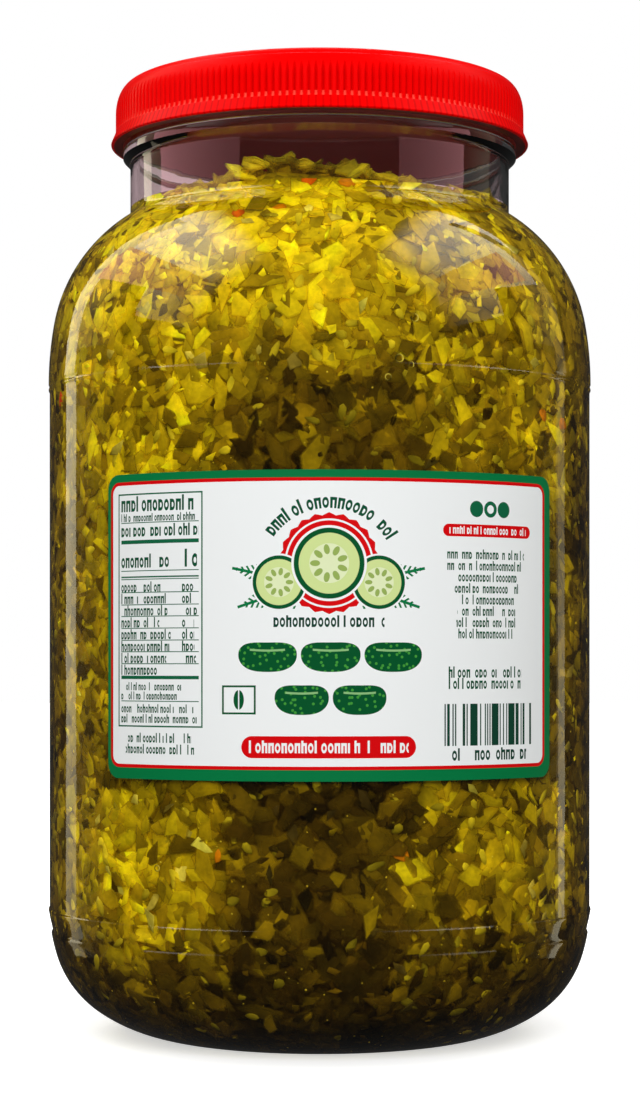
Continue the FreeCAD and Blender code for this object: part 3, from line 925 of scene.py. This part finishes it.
# Ruled table on the left, three dots on the right, and lines of words.
table_frame = box(-62.3, -35.0, 13.5, 74.1) * (1.0 - box(-61.9, -35.4, 13.9, 73.7))
heights = (66.5, 54.0, 51.8, 48.4, 45.2, 42.2, 39.1, 36.0, 33.0, 29.9, 20.2)
thin_rules = [box(*COLUMN, height - RULE_HALF, height + RULE_HALF) for height in heights]
thick_rules = [box(*COLUMN, foot, top) for foot, top in ((61.0, 62.0), (25.9, 26.8), (52.2, 52.6))]
dots = [disc(place, 69.8, 2.1) < 1.0 for place in (38.5, 43.0, 47.5)]
dots[1] = dots[1] * (disc(43.0, 69.8, 1.1) > 1.0)
inks.append((rule_green, any_of(table_frame, *thin_rules, *thick_rules, *dots)))

headings = writing([
    (-61.2, -36.2, 69.4, 73.4, 1, 1, False),
    (-61.2, -36.2, 62.9, 66.1, 1, 3, False),
    (-61.2, -45.0, 54.8, 58.4, 1, 4, False),
    (-40.2, -36.6, 54.8, 59.4, 1, 5, False),
    (30.0, 54.0, 23.4, 29.2, 2, 13, True),
], 0.74, 0.62)
small_words = writing([
    (-61.2, -36.2, 66.8, 69.2, 1, 2, False),
    (-61.2, -42.5, 27.0, 51.6, 8, 6, False),
    (-41.0, -36.4, 30.1, 51.6, 7, 7, False),
    (-61.2, -36.4, 20.6, 25.4, 2, 9, False),
    (-61.2, -36.4, 14.6, 19.8, 2, 10, False),
    (-61.0, -36.0, 6.6, 12.4, 2, 11, True),
    (28.5, 56.0, 36.4, 59.8, 8, 12, True),
], 0.62, 0.6, 0.35)
arch_u, arch_v = u - EMBLEM[0], v - 52.0
arched = (arch_u.math("ARCTAN2", arch_v) * 19.0, (arch_u * arch_u + arch_v * arch_v) ** 0.5)
curved_words = writing([(-20.0, 20.0, 17.4, 21.2, 1, 18, False)], 0.74, 0.72, 0.0, arched)
inks.append(((0.002, 0.075, 0.03), any_of(small_words, headings, curved_words)))

# Bars that stand for a code, a leaf in a square, and two red bars with white words.
bar_place = (u - 28.4) * 2.6
bars = box(28.4, 58.5, 8.8, 19.6) * (chance(bar_place.math("FLOOR"), 5.0, 8.0) > 0.5)
bar_words = writing([
    (31.0, 56.0, 5.0, 8.2, 1, 14, False),
    (-16.0, 12.4, 39.2, 42.2, 1, 17, True),
], 0.82, 0.66)
inks.append(((0.006, 0.05, 0.028), any_of(bars, bar_words)))
badge = box(-29.6, -20.6, 17.0, 24.4) * (1.0 - box(-29.1, -21.1, 17.5, 23.9))
leaf_shape = (disc(-25.1, 20.7, 2.5, 0.55) < 1.0) * ((u + 25.1).math("ABSOLUTE") > 0.16)
inks.append((dark_green, any_of(badge, leaf_shape)))
inks.append((red_ink, any_of(pill(28.4, 57.5, 62.6, 65.8), pill(-24.4, 20.8, 5.9, 11.5))))
inks.append((white, writing([
    (30.2, 55.8, 63.3, 65.3, 1, 15, True),
    (-22.4, 18.8, 7.2, 10.4, 1, 16, True),
], 0.8, 0.66)))

# Three gherkins over two: each point takes the gherkin that it is nearest to, and across and up
# are its distances from that one's middle as shares of its half length and half height.
upper_row = v > 26.3
pitch = upper_row * 1.4 + 14.8
offset = (1.0 - upper_row) * 0.5
place = ((u + 1.4) / pitch - offset + 0.5).math("FLOOR") + offset
across = ((u + 1.4) - place * pitch) / (upper_row * 0.7 + 6.9)
up = (v - 20.9 - upper_row * 10.9 - (across * across - 0.4) * 0.6) / 3.75
gherkin = (across.math("ABSOLUTE") ** 3.2 + up.math("ABSOLUTE") ** 2.2) < 1.0
gherkin = gherkin * (place.math("ABSOLUTE") < 1.2) * box(-26.5, 23.5, 16.0, 37.0)
wart_place = paper.node("CombineXYZ", {}, {"X": u * 0.55, "Y": v * 0.55})
wart = paper.node("TexVoronoi", {"feature": "F1", "voronoi_dimensions": "2D"}, {
    "Vector": wart_place, "Scale": 1.0}, "Distance")
sheen = ((up - 0.45).math("ABSOLUTE") < 0.07) * (across.math("ABSOLUTE") < 0.6)
inks += [(dark_green, gherkin), (leaf, gherkin * (wart < 0.2)), ((0.25, 0.5, 0.2), gherkin * sheen)]


def dill(across, up, lean, size):
    """A sprig of dill: a stem that leans from its foot, with leaflets on slanting lines whose
    length shrinks towards the tip."""
    turn = math.radians(lean)
    along = across * math.sin(turn) + up * math.cos(turn)
    off = (across * math.cos(turn) - up * math.sin(turn)).math("ABSOLUTE")
    leaflets = ((along - off * 0.9) / 1.7).math("FRACT") < 0.4
    within = (off < ((size - along) * 0.36)) * (along > size * 0.22) * (along < size)
    stem = (off < 0.36) * (along > 0.0) * (along < size)
    return any_of(leaflets * within, stem)


def slice_inks(across, up, size):
    """A cucumber slice: a rind, pale flesh, a clearer middle and nine seeds in a ring round it."""
    far = (across * across + up * up) ** 0.5 / size
    angle = up.math("ARCTAN2", across) * (9.0 / (2 * math.pi))
    seed_across = (angle.math("FRACT") - 0.5) * 2.2 * far
    seed_up = (far - 0.4) * 4.6
    seeds = (seed_across * seed_across * 6.0 + seed_up * seed_up) < 0.42
    return [
        (white, far < 1.07), (dark_green, far < 1.0), (flesh_ink, far < 0.86),
        ((0.74, 0.82, 0.5), far < 0.56), ((0.30, 0.42, 0.10), seeds)]


# The emblem: dill on both sides, a scalloped rosette, and a slice in the middle over two more.
either_side = (u - EMBLEM[0]).math("ABSOLUTE")
middle_u, middle_v = u - EMBLEM[0], v - EMBLEM[1]
sprigs = [dill(either_side - 5.0, v - 50.0, 78.0, 20.5), dill(either_side - 6.0, v - 50.0, 108.0, 18.5)]
rosette = disc(*EMBLEM, 12.2)
petals = (middle_v.math("ARCTAN2", middle_u) * (22.0 / (2 * math.pi))).math("FRACT")
scallop = (petals - 0.5).math("ABSOLUTE") * 0.12
inks += [
    (green, any_of(*sprigs)),
    (white, rosette < (1.12 - scallop)),
    (red_ink, rosette < (1.06 - scallop)),
    (white, (rosette < 0.93) * (rosette > 0.89)),
]
inks += slice_inks(either_side - 12.8, v - 50.6, 6.8)
inks += slice_inks(middle_u, middle_v, 9.0)

depth_in = frame_depth(-65.3, 63.9, 2.9, 77.2, 3.2)
inks += [(red_ink, depth_in < 0.9), (green, depth_in < 0.0)]
for ink, mask in inks:
    printed = paper.blend(printed, ink, mask)

fibres = paper.noise(1500.0, 3.0)
calender = paper.node("Bump", {}, {"Strength": 0.08, "Distance": 0.0001, "Height": fibres})
label_paper = paper.surface(paper.node("BsdfPrincipled", {}, {
    "Base Color": printed, "Roughness": fibres * 0.1 + 0.38, "Specular IOR Level": 0.12, "Normal": calender}))
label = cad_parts["label"]
label.data.materials.clear()
label.data.materials.append(label_paper)


# ---- Studio ----------------------------------------------------------------------------------
# A pale floor, softboxes left and right of the jar, by its neck, behind it and high on both sides,
# and a soft fill from above the camera. Nothing here is part of the object. Sizes are in metres.

def sheet(name, corners):
    """A flat four-cornered mesh."""
    mesh = bpy.data.meshes.new(name)
    mesh.from_pydata(corners, [], [(0, 1, 2, 3)])
    mesh.update()
    piece = bpy.data.objects.new(name, mesh)
    bpy.context.scene.collection.objects.link(piece)
    return piece


def beside(x, near, far, foot, top):
    """Corners of an upright sheet beside the jar, from near to far along Y."""
    return [(x, near, foot), (x, near, top), (x, far, top), (x, far, foot)]


def facing(y, left, right, foot, top):
    """Corners of an upright sheet across the view, from left to right along X."""
    return [(left, y, foot), (left, y, top), (right, y, top), (right, y, foot)]


def softbox(name, corners, strength, warmth, *fades):
    """A glowing sheet that the camera doesn't see, but gloss does. Each fade names an axis, the
    place where the glow is least, the place where it is full, and the least share."""
    finish = Finish(name)
    colour = warmth
    for axis, least, full, share in fades:
        place = finish.node("SeparateXYZ", {}, {"Vector": finish.place()}, axis)
        rise = finish.node("MapRange", {"interpolation_type": "SMOOTHSTEP"}, {
            "Value": place, "From Min": least, "From Max": full, "To Min": share, "To Max": 1.0})
        colour = finish.node("VectorMath", {"operation": "SCALE"}, {0: colour, "Scale": rise})
    glow = finish.surface(finish.node("Emission", {}, {"Color": colour, "Strength": strength}))
    piece = sheet(name, corners)
    piece.data.materials.append(glow)
    piece.visible_camera = False
    piece.visible_transmission = False
    return piece


FLOOR_REACH = 6.0

# The floor is matt grey to light, and to the camera a pale one that glows up to white away from
# the jar, so that its shadow stays.
floor_finish = Finish("floor")
seen = floor_finish.node("LightPath", output="Is Camera Ray")
matt = floor_finish.node("BsdfDiffuse", {}, {"Color": (0.25, 0.25, 0.25)})
pale = floor_finish.node("BsdfDiffuse", {}, {"Color": (0.9, 0.9, 0.9)})
away = floor_finish.node("VectorMath", {"operation": "LENGTH"}, {0: floor_finish.place()}, "Value")
lift = floor_finish.node("MapRange", {"interpolation_type": "SMOOTHSTEP"}, {
    "Value": away, "From Min": 0.12, "From Max": 0.4, "To Min": 0.55, "To Max": 1.05})
grey = floor_finish.node("CombineXYZ", {}, dict.fromkeys("XYZ", lift))
glow = floor_finish.node("Emission", {}, {"Color": grey, "Strength": 1.0})
pale_glow = floor_finish.node("AddShader", {}, {0: pale, 1: glow})
floor_look = floor_finish.surface(floor_finish.node("MixShader", {}, {0: seen, 1: matt, 2: pale_glow}))
reach = FLOOR_REACH
floor = sheet("floor", [(-reach, -reach, 0), (reach, -reach, 0), (reach, reach, 0), (-reach, reach, 0)])
floor.data.materials.append(floor_look)
floor.visible_glossy = False

# Softboxes beside the jar: name, sheet, strength, fade.
warm = (1.0, 0.92, 0.66)
for name, place, strength, *fades in (
    ("strip_left", (-0.6, 0.32, 0.49, -0.19, 1.3), 2.2, ("Z", -0.1, 0.32, 0.3)),
    ("veil_left", (-0.6, -0.1, 0.32, -0.19, 0.6), 0.4, ("Y", -0.1, 0.34, 0.0)),
    ("strip_right", (0.6, 0.26, 0.34, -0.19, 1.3), 1.2, ("Z", 0.3, -0.02, 0.25)),
    ("veil_right", (0.6, -0.1, 0.26, -0.19, 0.5), 0.3, ("Y", -0.1, 0.28, 0.0)),
    ("side_left", (-0.6, -0.84, 0.32, -0.19, 0.3), 0.03),
    ("side_right", (0.6, -0.77, 0.24, -0.19, 0.3), 0.04),
):
    softbox(name, beside(*place), strength, warm, *fades)

# Two small ones close to the neck give it the cap's colour.
for name, x, far in (("neck_left", -0.1, -0.01), ("neck_right", 0.1, -0.03)):
    panel = softbox(name, beside(x, -0.12, far, 0.232, 0.264), 2.3, (1.0, 0.46, 0.5), ("Y", -0.12, 0.0, 0.4))
    panel.visible_diffuse = False
    panel.visible_shadow = False

# Two high ones lean in over the jar, and fade towards their edges.
plain = (1.0, 0.985, 0.96)
high_fades = (("Z", 0.5, 1.1, 0.25), ("Y", -0.95, -0.2, 0.0), ("Z", 1.42, 1.2, 0.0))
for name, side, strength in (("high_left", -1, 3.1), ("high_right", 1, 2.6)):
    low, high = 1.1 * side, 0.45 * side
    corners = [(low, -0.9, 0.55), (low, 0.5, 0.55), (high, 0.5, 1.4), (high, -0.9, 1.4)]
    softbox(name, corners, strength, plain, *high_fades)
softbox("overhead", facing(0.75, -0.45, 0.12, 1.2, 1.24), 40.0, plain)

# One behind shows through the clear neck only.
behind = softbox("behind_left", facing(0.9, -1.4, -0.05, 0.1, 0.7), 0.5, (1.0, 0.72, 0.76))
behind.visible_transmission = True
behind.visible_glossy = False
behind.visible_diffuse = False

fill = bpy.data.lights.new("fill", "AREA")
fill.shape = "RECTANGLE"
fill.size, fill.size_y = 1.2, 0.8
fill.energy = 16.0
fill_lamp = bpy.data.objects.new("fill", fill)
fill_lamp.location = (0.0, -1.3, 0.7)
fill_lamp.rotation_euler = (math.radians(66), 0.0, 0.0)
fill_lamp.visible_glossy = False
fill_lamp.visible_transmission = False
fill_lamp.visible_camera = False
bpy.context.scene.collection.objects.link(fill_lamp)

# The air is white to the camera, lights the jar plainly, and is nearly dark in gloss.
world = bpy.data.worlds.new("studio")
world.use_nodes = True
air = world.node_tree
air.nodes.clear()
path = air.nodes.new("ShaderNodeLightPath")
seen_share = Port(air, path.outputs["Is Camera Ray"])
lit_share = Port(air, path.outputs["Is Diffuse Ray"])
backdrop = air.nodes.new("ShaderNodeBackground")
backdrop.inputs["Color"].default_value = (1.0, 1.0, 1.0, 1.0)
air.links.new((seen_share * 0.97 + lit_share * 0.25 + 0.03).socket, backdrop.inputs["Strength"])
result = air.nodes.new("ShaderNodeOutputWorld")
air.links.new(backdrop.outputs[0], result.inputs["Surface"])
bpy.context.scene.world = world

camera = bpy.data.cameras.new("camera")
camera.lens = 86.88
camera.sensor_width = 36.0
camera.shift_y = 0.0989
camera_object = bpy.data.objects.new("camera", camera)
camera_object.location = (0.0001, -0.7517, 0.1046)
camera_object.rotation_euler = (math.radians(90), 0.0, 0.0)
bpy.context.scene.collection.objects.link(camera_object)
bpy.context.scene.camera = camera_object
bpy.context.scene.view_settings.view_transform = "Standard"

# Light goes through more soft-edged pieces on its way than the usual limit of eight.
bpy.context.scene.cycles.transparent_max_bounces = 24
